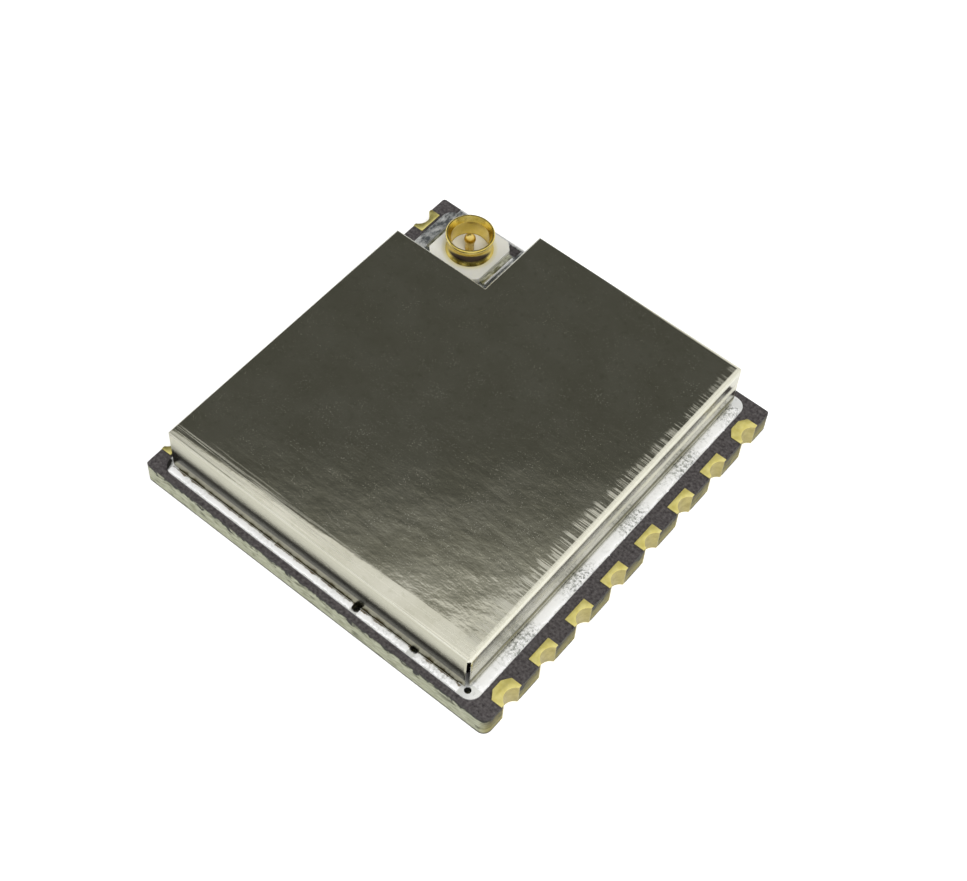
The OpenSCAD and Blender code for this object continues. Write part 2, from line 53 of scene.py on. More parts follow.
# Places on the module, in millimetres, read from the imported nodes
CAN, LAND, BOARD = box_mm("shield_can"), box_mm("ground_land"), box_mm("circuit_board")
BASE, RING = box_mm("socket_base"), box_mm("socket_ring")
NOTCH_X, NOTCH_Y = CAN[0][0] + 4.3, CAN[1][1] - 3.3
LAND_TOP = LAND[1][2]
SOCKET_X = (BASE[0][0] + BASE[1][0]) / 2
SOCKET_Y = (BASE[0][1] + BASE[1][1]) / 2
PAD_COUNT = 8
HOLES = [(1.74, -7.85), (4.29, -7.76)]


# Shader nodes --------------------------------------------------------------
class Finish:
    """A material whose patterns are laid out in millimetres on the object's own coordinates."""

    def __init__(self, name, base, metallic, roughness):
        self.material = bpy.data.materials.new(name)
        self.material.use_nodes = True
        self.nodes = self.material.node_tree.nodes
        self.links = self.material.node_tree.links
        self.shader = self.nodes["Principled BSDF"]
        self.shader.inputs["Base Color"].default_value = (*base, 1)
        self.shader.inputs["Metallic"].default_value = metallic
        self.shader.inputs["Roughness"].default_value = roughness
        place = self.nodes.new("ShaderNodeTexCoord")
        scale = self.nodes.new("ShaderNodeVectorMath")
        scale.operation = "SCALE"
        scale.inputs["Scale"].default_value = 1 / MM
        self.links.new(place.outputs["Object"], scale.inputs[0])
        self.mm = scale.outputs[0]
        self.normal = None

    def stretched(self, scale, turn=0.0):
        """Millimetre coordinates, turned about Z and then scaled along each axis."""
        node = self.nodes.new("ShaderNodeMapping")
        node.inputs["Rotation"].default_value[2] = turn
        node.inputs["Scale"].default_value = scale
        self.links.new(self.mm, node.inputs[0])
        return node.outputs[0]

    def noise(self, scale, detail=3.0, rough=0.55, at=None):
        node = self.nodes.new("ShaderNodeTexNoise")
        node.inputs["Scale"].default_value = scale
        node.inputs["Detail"].default_value = detail
        node.inputs["Roughness"].default_value = rough
        self.links.new(at or self.mm, node.inputs["Vector"])
        return node.outputs["Fac"]

    def cells(self, scale, at=None):
        node = self.nodes.new("ShaderNodeTexVoronoi")
        node.inputs["Scale"].default_value = scale
        self.links.new(at or self.mm, node.inputs["Vector"])
        return node.outputs["Distance"]

    def axis(self, index, source=None):
        node = self.nodes.new("ShaderNodeSeparateXYZ")
        self.links.new(source or self.mm, node.inputs[0])
        return node.outputs[index]

    def facing(self, index):
        """Component of the surface's own normal along X, Y or Z."""
        node = self.nodes.new("ShaderNodeNewGeometry")
        return self.axis(index, node.outputs["Normal"])

    def step(self, value, low, high, to_low=0.0, to_high=1.0):
        node = self.nodes.new("ShaderNodeMapRange")
        for name, number in zip(("From Min", "From Max", "To Min", "To Max"), (low, high, to_low, to_high)):
            node.inputs[name].default_value = number
        self.links.new(value, node.inputs["Value"])
        return node.outputs["Result"]

    def math(self, operation, a, b=0.0):
        node = self.nodes.new("ShaderNodeMath")
        node.operation = operation
        for socket, value in zip(node.inputs, (a, b)):
            if isinstance(value, (int, float)):
                socket.default_value = value
            else:
                self.links.new(value, socket)
        return node.outputs[0]

    def times(self, *values):
        result = values[0]
        for value in values[1:]:
            result = self.math("MULTIPLY", result, value)
        return result

    def blend(self, factor, first, second):
        node = self.nodes.new("ShaderNodeMix")
        node.data_type = "RGBA"
        self.links.new(factor, node.inputs["Factor"])
        for socket, value in zip((node.inputs["A"], node.inputs["B"]), (first, second)):
            if isinstance(value, tuple):
                socket.default_value = (*value, 1)
            else:
                self.links.new(value, socket)
        return node.outputs["Result"]

    def colour(self, value):
        self.links.new(value, self.shader.inputs["Base Color"])

    def roughness(self, value):
        self.links.new(value, self.shader.inputs["Roughness"])

    def bump(self, height, depth, strength=1.0):
        """Adds relief of that depth in millimetres over what is there already."""
        node = self.nodes.new("ShaderNodeBump")
        node.inputs["Distance"].default_value = depth * MM
        node.inputs["Strength"].default_value = strength
        self.links.new(height, node.inputs["Height"])
        if self.normal:
            self.links.new(self.normal, node.inputs["Normal"])
        self.normal = node.outputs["Normal"]
        self.links.new(self.normal, self.shader.inputs["Normal"])


def board_finish():
    """Black solder mask on the faces, and the cut glass and resin core on the edges."""
    f = Finish("board_mask_and_core", (0.02, 0.019, 0.022), 0.0, 0.4)
    is_face = f.step(f.math("ABSOLUTE", f.facing(2)), 0.6, 0.8)
    fine = f.noise(9, 4)
    mask = f.blend(f.step(fine, 0.3, 0.7), (0.034, 0.030, 0.031), (0.120, 0.110, 0.110))
    # routed edge: olive resin with pale glass fibres, darker and browner along the pad rows
    fibres = f.noise(1.0, 4, 0.6, f.stretched((2.4, 2.4, 14)))
    blotch = f.noise(1.6, 3, 0.6, f.stretched((1, 1, 2.2)))
    z = f.axis(2)
    f.shader.inputs["Specular IOR Level"].default_value = 0.06
    pale = f.blend(f.step(fibres, 0.35, 0.65), (0.26, 0.27, 0.17), (0.57, 0.585, 0.44))
    olive = f.blend(f.step(fibres, 0.35, 0.65), (0.17, 0.15, 0.04), (0.36, 0.32, 0.12))
    upper = f.blend(fibres, (0.045, 0.036, 0.010), (0.11, 0.092, 0.030))
    olive = f.blend(f.step(z, BOARD[1][2] - 0.15, 0.25), upper, olive)
    core = f.blend(f.math("ABSOLUTE", f.facing(0)), pale, olive)
    core = f.blend(f.step(blotch, 0.56, 0.68, 0.0, 0.75), core, (0.06, 0.065, 0.035))
    hung = f.math("ADD", z, f.step(f.noise(2.4, 3, 0.6), 0.46, 0.7, 0.0, 0.36))
    rim = f.math("MAXIMUM", f.step(hung, BOARD[1][2] - 0.14, BOARD[1][2] - 0.03), f.step(z, 0.10, 0.03))
    core = f.blend(rim, core, (0.022, 0.022, 0.018))
    f.colour(f.blend(is_face, core, mask))
    f.roughness(f.step(fine, 0.2, 0.8, 0.34, 0.5))
    f.bump(f.noise(3.0, 2), 0.02, 0.5)
    f.bump(f.noise(14, 3), 0.005)
    f.bump(fibres, 0.02, 0.5)
    return f.material


def gold_finish(name, dark, light, roughness, relief=0.002):
    """Thin gold over copper or brass, a little uneven and rubbed."""
    f = Finish(name, light, 1.0, roughness)
    cloud = f.noise(3.5, 4)
    f.colour(f.blend(f.step(cloud, 0.35, 0.65), dark, light))
    f.roughness(f.step(f.noise(16, 3), 0.3, 0.7, roughness - 0.05, roughness + 0.08))
    f.bump(f.noise(22, 2), relief)
    return f.material


def ring_finish():
    """Polished gold, with a painted dark reflection in the waist where it faces the eye, and tinned over on the two
    feet.
    """
    f = Finish("ring_gold", (0.82, 0.64, 0.20), 1.0, 0.14)
    cloud = f.noise(3.5, 4)
    tone = f.blend(f.step(cloud, 0.35, 0.65), (0.74, 0.58, 0.14), (0.85, 0.69, 0.22))
    dx, dy = (f.math("SUBTRACT", f.axis(i), v) for i, v in ((0, SOCKET_X), (1, SOCKET_Y)))
    away = f.math("SQRT", f.math("ADD", f.times(dx, dx), f.times(dy, dy)))
    # painted dark reflection: the waist is darkened where it faces the eye
    layer = f.nodes.new("ShaderNodeLayerWeight")
    toward = f.step(layer.outputs["Facing"], 0.66, 0.5)
    low, high = f.step(f.axis(2), BASE[1][2] + 0.10, BASE[1][2] + 0.2), f.step(f.axis(2), RING[1][2] - 0.22, RING[1][2] - 0.3)
    painted_waist_reflection = f.times(toward, low, high, f.step(away, 0.79, 0.81))
    tone = f.blend(painted_waist_reflection, tone, (0.07, 0.05, 0.035))
    foot = f.step(f.math("ABSOLUTE", dx), 1.12, 1.25)
    smear = f.noise(1.0, 3, 0.6, f.stretched((7, 2.2, 3)))
    f.colour(f.blend(foot, tone, f.blend(f.step(smear, 0.4, 0.65), (0.22, 0.22, 0.12), (0.85, 0.85, 0.74))))
    f.roughness(f.math("ADD", f.step(f.noise(9, 2), 0.3, 0.7, 0.2, 0.26), f.times(foot, 0.12)))
    f.bump(f.noise(3, 2), 0.002)
    return f.material


def land_finish():
    """Tinned ground land: bright round the can, grey and gnarled with solder by the socket."""
    f = Finish("ground_tin", (0.92, 0.93, 0.93), 0.55, 0.4)
    by_socket = f.times(f.step(f.axis(0), NOTCH_X + 0.1, NOTCH_X - 0.2), f.step(f.axis(1), NOTCH_Y, NOTCH_Y + 0.3))
    by_socket = f.times(by_socket, f.step(f.axis(1), LAND[1][1] - 0.02, LAND[1][1] - 0.1))
    gnarl = f.noise(1.0, 4, 0.7, f.stretched((5, 2.6, 3)))
    grey = f.blend(f.step(gnarl, 0.42, 0.66), (0.10, 0.11, 0.115), (0.62, 0.63, 0.63))
    plain = f.blend(f.step(f.noise(4, 4), 0.6, 0.75), (0.92, 0.93, 0.93), (0.66, 0.66, 0.65))
    tone = f.blend(by_socket, plain, grey)
    # black ragged spots: over the land's left front corner, and round the two small holes
    spots = [((CAN[0][0] - 0.35, CAN[0][1] - 0.2), 0.5, 0.4)] + [(hole, 0.21, 0.15) for hole in HOLES]
    for place, clear, full in spots:
        dx, dy = (f.math("SUBTRACT", f.axis(i), place[i]) for i in (0, 1))
        away = f.math("SQRT", f.math("ADD", f.times(dx, dx), f.times(dy, dy)))
        away = f.math("ADD", away, f.step(gnarl, 0.3, 0.7, -0.05, 0.05))
        tone = f.blend(f.step(away, clear, full), tone, (0.012, 0.011, 0.010))
    f.colour(tone)
    f.roughness(f.step(f.noise(5, 3), 0.3, 0.7, 0.34, 0.5))
    f.bump(f.noise(2.2, 2), 0.006)
    f.bump(f.times(gnarl, by_socket), 0.05)
    return f.material


def pad_finish():
    """Soft pale gold of an etched land, with painted shade on the wall of its half hole, a darker tan."""
    f = Finish("pad_gold", (0.74, 0.64, 0.26), 1.0, 0.42)
    cloud = f.noise(4.0, 3)
    land = f.blend(f.step(cloud, 0.35, 0.65), (0.76, 0.67, 0.22), (0.86, 0.78, 0.32))
    # painted shade: the wall of the half hole is a darker copy of the land's gold
    wall = f.blend(f.step(cloud, 0.35, 0.65), (0.36, 0.31, 0.12), (0.46, 0.40, 0.17))
    f.colour(f.blend(f.step(f.math("ABSOLUTE", f.facing(2)), 0.25, 0.6), wall, land))
    f.roughness(f.step(f.noise(15, 3), 0.3, 0.7, 0.36, 0.5))
    f.bump(f.noise(12, 2), 0.002)
    return f.material


def tin_finish(name="tinned_copper", relief=0.006, roughness=0.3, tone=(0.92, 0.93, 0.93)):
    """Tin that ran and set: smooth, with soft waves and a few dull spots."""
    f = Finish(name, tone, 1.0, roughness)
    spots = f.step(f.noise(4, 4), 0.58, 0.74)
    f.colour(f.blend(spots, tone, tuple(0.72 * c for c in tone)))
    f.roughness(f.step(f.noise(5, 3), 0.3, 0.7, roughness - 0.06, roughness + 0.1))
    f.bump(f.noise(2.2, 2), relief)
    return f.material


def solder_finish():
    """Bright set solder, grainy and grey where it was heaped at a joint."""
    f = Finish("set_solder", (0.93, 0.93, 0.93), 0.1, 0.4)
    heap = f.nodes.new("ShaderNodeAttribute")
    heap.attribute_name = "heap"
    heap = heap.outputs["Fac"]
    grain = f.noise(9, 4, 0.65)
    dark = f.step(grain, 0.46, 0.62)
    tone = f.blend(f.step(f.noise(3, 3), 0.6, 0.75), (0.95, 0.95, 0.95), (0.80, 0.80, 0.80))
    tone = f.blend(f.times(heap, dark), tone, (0.24, 0.25, 0.23))
    # the run on the right is grainy in long patches
    patch = f.times(f.step(f.noise(0.55, 2), 0.44, 0.56), f.step(f.axis(0), CAN[1][0], CAN[1][0] + 0.02), 0.75)
    tone = f.blend(f.times(f.step(f.noise(8, 4, 0.7), 0.50, 0.64), patch), tone, (0.34, 0.36, 0.32))
    # a thin ragged line of painted brown shade where the front run meets the can
    y = f.axis(1)
    ragged = f.step(f.noise(4, 4, 0.65), 0.3, 0.7, -0.06, 0.06)
    line = f.step(f.math("ADD", f.math("SUBTRACT", CAN[0][1], y), ragged), 0.08, 0.03)
    f.colour(f.blend(f.times(line, f.step(y, CAN[0][1] + 0.02, CAN[0][1])), tone, (0.17, 0.14, 0.09)))
    f.roughness(f.math("ADD", f.times(heap, 0.12), 0.4))
    f.bump(f.noise(2.0, 2), 0.008)
    f.bump(f.times(grain, heap), 0.04)
    return f.material


def can_finish():
    """Rolled sheet, grain along X: near mirror, with specks, and grain laid open beside the folds."""
    f = Finish("can_sheet", (0.62, 0.61, 0.54), 1.0, 0.12)
    is_top, is_wall = f.step(f.facing(2), 0.9, 0.97), f.step(f.facing(2), 0.5, 0.2)
    x, y, z = f.axis(0), f.axis(1), f.axis(2)
    grain = f.noise(1.0, 4, 0.6, f.stretched((0.45, 13, 5)))
    cloud = f.noise(0.55, 3)
    mottle = f.noise(3.2, 4, 0.6)
    tone = f.blend(f.step(cloud, 0.35, 0.65), (0.58, 0.57, 0.49), (0.66, 0.65, 0.58))
    tone = f.blend(f.step(mottle, 0.55, 0.72, 0.0, 0.3), tone, (0.42, 0.42, 0.34))
    # fine specks that scatter light, over the whole sheet
    speck = f.times(f.step(f.cells(7.5), 0.14, 0.04), f.step(f.noise(2.1, 1), 0.46, 0.54), 0.34)
    dust = f.times(f.step(f.cells(12, f.stretched((1, 1, 1), 0.7)), 0.26, 0.08), f.step(f.noise(1.3, 2), 0.4, 0.6), 0.34)
    specks = f.math("MAXIMUM", speck, dust)
    # grain that catches the light: a dense fringe square to the right fold, long lines at the front fold
    reach = f.step(y, 6.0, CAN[0][1], 0.28, 0.62)
    reach = f.times(reach, f.step(f.noise(1.0, 2, 0.5, f.stretched((0.1, 5, 1))), 0.3, 0.7, 0.6, 1.3))
    inward = f.math("DIVIDE", f.math("SUBTRACT", CAN[1][0] - 0.24, x), reach)
    comb = f.step(f.noise(1.0, 1, 0.5, f.stretched((0.25, 15, 3))), 0.46, 0.58)
    fringe = f.times(comb, f.step(inward, 1.0, 0.5), is_top, f.step(y, 6.5, -3.0, 0.3, 0.55))
    front = f.step(y, CAN[0][1] + 1.0, CAN[0][1] + 0.35)
    line = f.step(f.math("ADD", f.noise(1.0, 3, 0.6, f.stretched((0.16, 9, 3))), f.times(front, 0.10)), 0.62, 0.70)
    lit = f.math("MAXIMUM", fringe, f.times(line, front, is_top, 0.5))
    tone = f.blend(f.math("MAXIMUM", specks, lit), tone, (0.95, 0.94, 0.84))
    # the walls are duller, with painted shade; the front wall has a painted dark reflection and painted shade above
    # the solder, smeared brown
    up = f.math("SUBTRACT", z, LAND_TOP)
    painted_reflection_and_shade = f.math("MAXIMUM", f.times(f.step(up, 0.40, 0.54), f.step(up, 1.14, 0.98), 0.97), f.step(up, 0.2, 0.1, 0, 0.8))
    painted_reflection_and_shade = f.times(f.math("MAXIMUM", painted_reflection_and_shade, f.step(up, 0.5, 0.45, 0, 0.55)), f.step(f.facing(1), -0.5, -0.8))
    is_right = f.step(f.facing(0), 0.5, 0.8)
    # painted dark reflection and shade low on the right wall, made matte
    foot = f.times(f.step(up, 0.2, 0.34), f.step(up, 0.62, 0.46), is_right, 0.93)
    # painted shade: the walls are darker than the top, and the right wall darker than the others
    tone = f.blend(is_wall, tone, f.blend(is_right, (0.43, 0.42, 0.33), (0.53, 0.52, 0.43)))
    smear = f.step(f.noise(1.0, 4, 0.65, f.stretched((1.3, 1.3, 9))), 0.36, 0.64)
    # painted dark tone for the painted reflection and shade, smeared brown low on the wall
    painted_dark_tone = f.blend(f.times(smear, f.step(up, 0.5, 0.42)), (0.036, 0.034, 0.018), (0.24, 0.22, 0.10))
    tone = f.blend(f.math("MAXIMUM", painted_reflection_and_shade, foot), tone, painted_dark_tone)
    f.links.new(f.step(foot, 0.0, 1.0, 1.0, 0.15), f.shader.inputs["Metallic"])
    # a painted highlight along the right fold, and a painted pale reflection along the right wall
    painted_highlights = f.times(f.step(z, CAN[1][2] - 0.26, CAN[1][2] - 0.18), f.step(f.facing(0), 0.15, 0.4), 0.7)
    painted_wall_reflection = f.times(f.step(up, 0.88, 1.05), f.step(up, 1.44, 1.24), is_right, f.step(y, -7.0, 3.0, 0.2, 0.8))
    painted_highlights = f.math("MAXIMUM", painted_highlights, painted_wall_reflection)
    tone = f.blend(painted_highlights, tone, (0.95, 0.94, 0.84))
    lit = f.math("MAXIMUM", lit, painted_highlights)
    f.colour(tone)
    is_fold = f.math("SUBTRACT", f.math("SUBTRACT", 1.0, is_top), is_wall)
    rough = f.math("ADD", f.step(grain, 0.3, 0.7, 0.05, 0.09), f.times(is_wall, 0.10))
    rough = f.math("ADD", f.math("ADD", rough, f.times(foot, 0.4)), f.times(is_fold, 0.25))
    f.roughness(f.math("ADD", rough, f.times(f.math("MAXIMUM", specks, lit), 0.55)))
    f.bump(grain, 0.0003)
    # the sheet is a little wavy, and falls away before the front fold, over a wider band to the right
    f.bump(f.noise(1.0, 3, 0.55, f.stretched((1.1, 1.9, 1), 0.25)), 0.0055)
    f.bump(f.noise(0.30, 2), 0.02, 0.5)
    width = f.step(x, -7.5, 4.0, 0.29, 0.72)
    fall = f.step(f.math("DIVIDE", f.math("SUBTRACT", y, CAN[0][1]), width), 1.0, 0.25)
    f.bump(f.times(f.math("POWER", fall, 1.5), width, is_top, -1.0), 0.050)
    return f.material


def moulding_finish():
    """Off-white moulded polymer with a satin face, and painted warm light from the gold ring on it near the ring."""
    f = Finish("socket_moulding", (0.74, 0.72, 0.64), 0.0, 0.38)
    dx, dy = (f.math("SUBTRACT", f.axis(i), v) for i, v in ((0, SOCKET_X), (1, SOCKET_Y)))
    away = f.math("SQRT", f.math("ADD", f.times(dx, dx), f.times(dy, dy)))
    # painted gold light bounced from the ring onto the plastic, inside and just outside it
    painted_gold_bounce = f.times(f.step(away, 1.12, 0.94), f.step(away, 0.72, 0.9))
    f.colour(f.blend(painted_gold_bounce, (0.78, 0.77, 0.70), (0.68, 0.63, 0.38)))
    f.shader.inputs["Subsurface Weight"].default_value = 0.15
    f.shader.inputs["Subsurface Radius"].default_value = (0.0003, 0.0003, 0.0002)
    f.shader.inputs["Subsurface Scale"].default_value = 1.0
    f.roughness(f.step(f.noise(12, 3), 0.3, 0.7, 0.3, 0.46))
    f.bump(f.noise(20, 2), 0.003)
    return f.material


def grain_finish(name, low, high, roughness, scale, depth=0.006):
    """Plain fine grain for mouldings and fired ceramic."""
    f = Finish(name, low, 0.0, roughness)
    f.colour(f.blend(f.noise(scale, 4), low, high))
    f.roughness(f.step(f.noise(scale * 0.7, 3), 0.3, 0.7, roughness - 0.08, roughness + 0.1))
    f.bump(f.noise(scale * 1.6, 3), depth)
    return f.material


# Pieces --------------------------------------------------------------------
def rounded_copy(node, name, material, bevel, segments=2, smooth=35):
    """The node's own shape as one clean mesh, with small rounded edges, in place of the node."""
    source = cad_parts[node]
    mesh = source.data.copy()
    mesh.name = name
    mesh.transform(source.matrix_world)
    bm = bmesh.new()
    bm.from_mesh(mesh)
    bmesh.ops.remove_doubles(bm, verts=bm.verts, dist=0.002 * MM)
    bmesh.ops.dissolve_limit(bm, angle_limit=math.radians(0.5), verts=bm.verts, edges=bm.edges)
    bm.to_mesh(mesh)
    bm.free()
    mesh.materials.clear()
    mesh.materials.append(material)
    piece = bpy.data.objects.new(name, mesh)
    bpy.context.collection.objects.link(piece)
    if bevel:
        edge = piece.modifiers.new("edge", "BEVEL")
        edge.width = bevel * MM
        edge.segments = segments
        edge.limit_method = "ANGLE"
        edge.angle_limit = math.radians(40)
        edge.harden_normals = False
    finish_mesh(piece, smooth)
    flats = piece.modifiers.new("flats", "WEIGHTED_NORMAL")
    flats.keep_sharp = True
    flats.weight = 100
    apply_modifiers(piece)
    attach(piece, "root")
    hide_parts(node)
    return piece


def apply_modifiers(piece):
    depsgraph = bpy.context.evaluated_depsgraph_get()
    done = bpy.data.meshes.new_from_object(piece.evaluated_get(depsgraph))
    piece.modifiers.clear()
    piece.data = done


def finish_mesh(piece, smooth):
    """Applies the piece's modifiers and smooths its shading below that angle."""
    apply_modifiers(piece)
    piece.data.shade_smooth()
    piece.data.set_sharp_from_angle(angle=math.radians(smooth))


def band_slab(name, runs, joints):
    """Flat closed strips round the can's foot, with distance along, lift and jointing as attributes."""
    across = [0.0, 0.06, 0.16, 0.3, 0.5, 0.7, 0.86, 0.95, 1.0]
    bm = bmesh.new()
    along_layer, lift_layer, joint_layer = (bm.verts.layers.float.new(v) for v in ("along", "lift", "jointed"))
    for (start, end, outward, reach), (joint, jointed) in zip(runs, joints):
        start, end, outward = Vector(start), Vector(end), Vector(outward)
        length = (end - start).length
        count = int(length / 0.06)
        rows = []
        for i in range(count + 1):
            s = length * i / count
            taper = min(1.0, s / 0.12, (length - s) / 0.12)
            ragged = 0.94 + 0.06 * math.sin(7.3 * s) + 0.05 * math.sin(19.7 * s + 1.1) + 0.05 * math.sin(43.0 * s)
            row = []
            for upper in (True, False):
                for u in (across if upper else reversed(across)):
                    at = start + (end - start) * (i / count) + outward * (u * reach * ragged)
                    vert = bm.verts.new(at * MM)
                    vert[along_layer] = (s - joint) * MM
                    vert[joint_layer] = jointed
                    vert[lift_layer] = (0.12 + math.sin(math.pi * u) ** 0.25 * taper) if upper else 0.0
                    row.append(vert)
            rows.append(row)
        for a, b in zip(rows, rows[1:]):
            for j in range(len(a)):
                k = (j + 1) % len(a)
                bm.faces.new((a[j], a[k], b[k], b[j]))
        bm.faces.new(rows[0])
        bm.faces.new(list(reversed(rows[-1])))
    bmesh.ops.recalc_face_normals(bm, faces=bm.faces)
    mesh = bpy.data.meshes.new(name)
    bm.to_mesh(mesh)
    bm.free()
    return mesh


def solder_band(name, mesh, material, sizes):
    """Raises the flat strips into a rounded run of solder that is heaped and rough at each joint."""
    tree = bpy.data.node_groups.new(name + "_shape", "GeometryNodeTree")
    face = tree.interface
    face.new_socket("Geometry", in_out="INPUT", socket_type="NodeSocketGeometry")
    face.new_socket("Geometry", in_out="OUTPUT", socket_type="NodeSocketGeometry")
    for label in sizes:
        face.new_socket(label, in_out="INPUT", socket_type="NodeSocketFloat")
    face.new_socket("Material", in_out="INPUT", socket_type="NodeSocketMaterial")
    n, link = tree.nodes, tree.links
    inside, out = n.new("NodeGroupInput"), n.new("NodeGroupOutput")

    def calc(operation, a, b=0.0):
        node = n.new("ShaderNodeMath")
        node.operation = operation
        for socket, value in zip(node.inputs, (a, b)):
            if isinstance(value, (int, float)):
                socket.default_value = value
            else:
                link.new(value, socket)
        return node.outputs[0]

    def named(attribute):
        node = n.new("GeometryNodeInputNamedAttribute")
        node.data_type = "FLOAT"
        node.inputs["Name"].default_value = attribute
        return node.outputs["Attribute"]

    def wavy(scale, detail):
        node = n.new("ShaderNodeTexNoise")
        node.noise_dimensions = "4D"
        node.inputs["Scale"].default_value = scale
        node.inputs["Detail"].default_value = detail
        link.new(n.new("GeometryNodeInputPosition").outputs[0], node.inputs["Vector"])
        link.new(inside.outputs["Seed"], node.inputs["W"])
        return calc("SUBTRACT", node.outputs[0], 0.5)

    pitch = inside.outputs["Joint pitch"]
    turns = calc("DIVIDE", named("along"), pitch)
    off = calc("MULTIPLY", calc("ABSOLUTE", calc("SUBTRACT", turns, calc("ROUND", turns))), pitch)
    ratio = calc("DIVIDE", off, calc("MULTIPLY", inside.outputs["Joint length"], 0.5))
    heap = calc("POWER", 2.718, calc("MULTIPLY", calc("POWER", ratio, 4), -1))
    heap = calc("MULTIPLY", heap, named("jointed"))
    keep = n.new("GeometryNodeStoreNamedAttribute")
    keep.data_type = "FLOAT"
    keep.domain = "POINT"
    keep.inputs["Name"].default_value = "heap"
    link.new(inside.outputs["Geometry"], keep.inputs["Geometry"])
    link.new(heap, keep.inputs["Value"])
    smooth = calc("MULTIPLY", inside.outputs["Run height"], calc("ADD", calc("MULTIPLY", wavy(900, 2), 0.7), 1))
    rough = calc("MULTIPLY", inside.outputs["Joint height"], calc("ADD", calc("MULTIPLY", wavy(5200, 3), 2.6), 0.8))
    height = calc("ADD", smooth, calc("MULTIPLY", heap, rough))
    height = calc("MAXIMUM", calc("MULTIPLY", height, named("lift")), 0.0)
    up = n.new("ShaderNodeCombineXYZ")
    link.new(height, up.inputs["Z"])
    move = n.new("GeometryNodeSetPosition")
    link.new(keep.outputs["Geometry"], move.inputs["Geometry"])
    link.new(up.outputs[0], move.inputs["Offset"])
    real, paint = n.new("GeometryNodeRealizeInstances"), n.new("GeometryNodeSetMaterial")
    link.new(move.outputs[0], real.inputs[0])
    link.new(real.outputs[0], paint.inputs["Geometry"])
    link.new(inside.outputs["Material"], paint.inputs["Material"])
    link.new(paint.outputs[0], out.inputs[0])

    piece = bpy.data.objects.new(name, mesh)
    bpy.context.collection.objects.link(piece)
    shape = piece.modifiers.new("shape", "NODES")
    shape.node_group = tree
    values = dict(sizes, Material=material)
    for item in face.items_tree:
        if item.in_out == "INPUT" and item.name in values:
            shape[item.identifier] = values[item.name]
    finish_mesh(piece, 60)
    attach(piece, "root")
    return piece


def dress_nodes(finishes):
    """Gives every node that keeps its own shape its finish."""
    for node, material in finishes.items():
        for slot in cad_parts[node].material_slots:
            slot.material = material


# Studio --------------------------------------------------------------------
def world_light():
    """Plain white light, and for reflections a white room with one dark card, soft at its near edge, behind."""
    world = bpy.data.worlds.new("studio")
    bpy.context.scene.world = world
    world.use_nodes = True
    n, link = world.node_tree.nodes, world.node_tree.links
    n.clear()
    direction, path = n.new("ShaderNodeTexCoord"), n.new("ShaderNodeLightPath")

    def edge(toward, low, high, power=1.0):
        """From 0 to 1 as the direction's share along toward goes from low to high."""
        share, ramp, bend = n.new("ShaderNodeVectorMath"), n.new("ShaderNodeMapRange"), n.new("ShaderNodeMath")
        share.operation, bend.operation = "DOT_PRODUCT", "POWER"
        share.inputs[1].default_value = Vector(toward).normalized()
        ramp.inputs["From Min"].default_value, ramp.inputs["From Max"].default_value = low, high
        bend.inputs[1].default_value = power
        link.new(direction.outputs["Generated"], share.inputs[0])
        link.new(share.outputs["Value"], ramp.inputs["Value"])
        link.new(ramp.outputs["Result"], bend.inputs[0])
        return bend.outputs[0]

    def mixed(factor, first, second):
        node = n.new("ShaderNodeMix")
        node.data_type = "RGBA"
        link.new(factor, node.inputs["Factor"])
        for socket, value in zip((node.inputs["A"], node.inputs["B"]), (first, second)):
            if isinstance(value, tuple):
                socket.default_value = (*value, 1)
            else:
                link.new(value, socket)
        return node.outputs["Result"]

    white, across, aside = (1.0, 0.99, 0.93), (0.564, -0.639, 0.526), (0.765, 0.641, -0.042)
    seen = mixed(edge(across, -0.035, 0.055, 2), (0.098, 0.098, 0.084), (0.40, 0.395, 0.34))
    seen = mixed(edge(across, 0.050, 0.068), seen, white)
    seen = mixed(edge(across, -0.78, -0.88), seen, white)
    seen = mixed(edge(aside, 0.22, 0.32), seen, white)
    seen = mixed(edge(aside, -0.70, -0.80), seen, white)

    def sky(colour, strength):
        node = n.new("ShaderNodeBackground")
        node.inputs["Strength"].default_value = strength
        if isinstance(colour, tuple):
            node.inputs["Color"].default_value = (*colour, 1)
        else:
            link.new(colour, node.inputs["Color"])
        return node.outputs[0]

    def either(factor, first, second):
        node = n.new("ShaderNodeMixShader")
        link.new(factor, node.inputs[0])
        link.new(first, node.inputs[1])
        link.new(second, node.inputs[2])
        return node.outputs[0]

    gloss = n.new("ShaderNodeMath")
    gloss.operation = "MAXIMUM"
    link.new(path.outputs["Is Glossy Ray"], gloss.inputs[0])
    link.new(path.outputs["Is Transmission Ray"], gloss.inputs[1])
    room = either(gloss.outputs[0], sky((1, 1, 1), 0.62), sky(seen, 1.0))
    room = either(path.outputs["Is Camera Ray"], room, sky((1, 1, 1), 1.0))
    link.new(room, n.new("ShaderNodeOutputWorld").inputs[0])


def soft_lamps():
    for name, at, size, energy in (("key", (0.06, -0.03, 0.11), 0.07, 0.085),
                                   ("fill", (-0.08, -0.07, 0.07), 0.09, 0.03)):
        lamp = bpy.data.objects.new(name, bpy.data.lights.new(name, "AREA"))
        lamp.data.size = size
        lamp.data.energy = energy
        lamp.visible_glossy = False
        lamp.location = at
        lamp.rotation_euler = (-Vector(at)).to_track_quat("-Z", "Y").to_euler()
        bpy.context.collection.objects.link(lamp)


